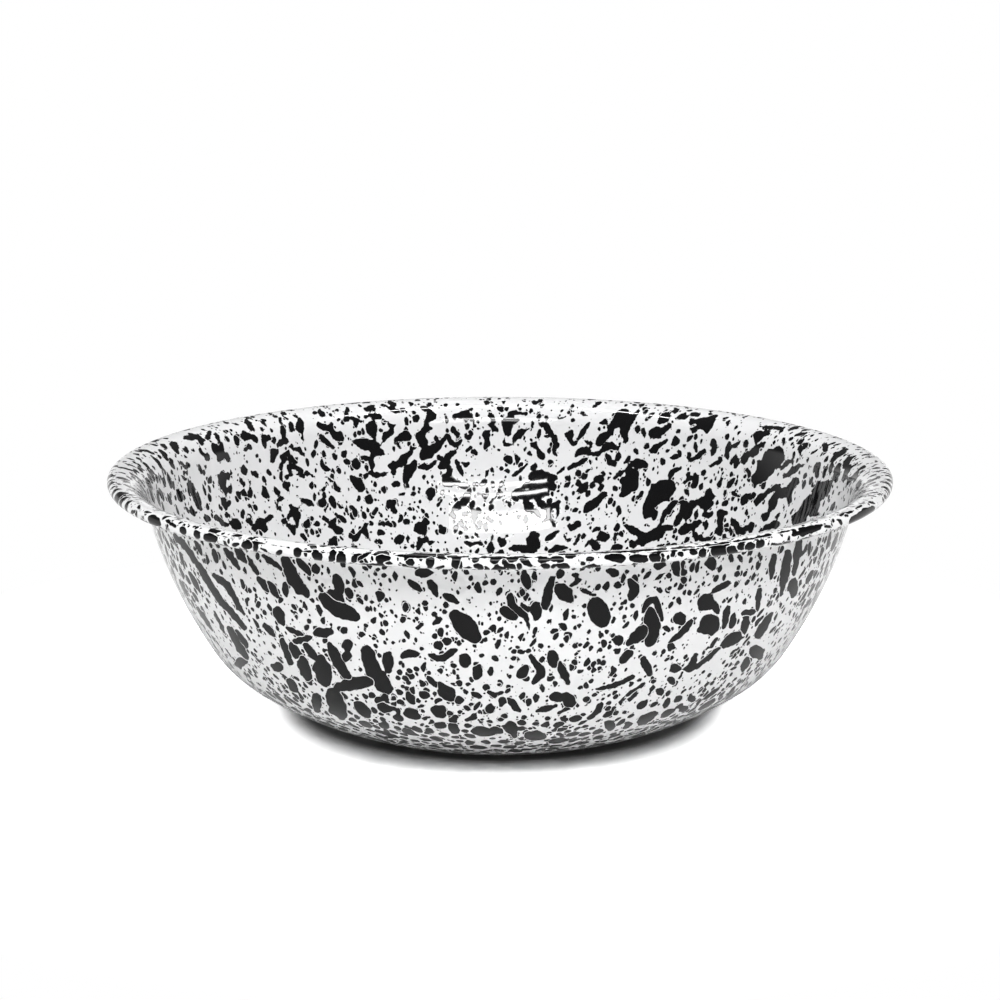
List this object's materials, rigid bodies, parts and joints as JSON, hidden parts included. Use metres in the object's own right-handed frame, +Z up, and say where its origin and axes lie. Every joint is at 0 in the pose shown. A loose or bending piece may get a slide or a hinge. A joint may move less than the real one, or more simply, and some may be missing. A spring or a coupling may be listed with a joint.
{
  "type": "enamelled basin bowl",
  "caption": "Round enamelled steel basin bowl with a flared, rolled rim and black splatter on a white glaze, inside and outside.",
  "frame": {"origin": "centre of the base, on the surface that the bowl stands on", "axes": "+Z up along the bowl's round axis; the bowl is round, so X and Y are free"},
  "size_m": [0.305, 0.305, 0.1],
  "materials": {
    "steel": "pickled, hidden under the glaze",
    "ground_coat": "dark glaze, hidden under the cover coat",
    "cover_coat": "glossy white glaze with black splatter"
  },
  "bodies": {
    "root": {"steel_bowl": "steel", "ground_coat_inside": "ground_coat", "ground_coat_outside": "ground_coat", "cover_coat_inside": "cover_coat", "cover_coat_outside": "cover_coat"}
  },
  "joints": []
}
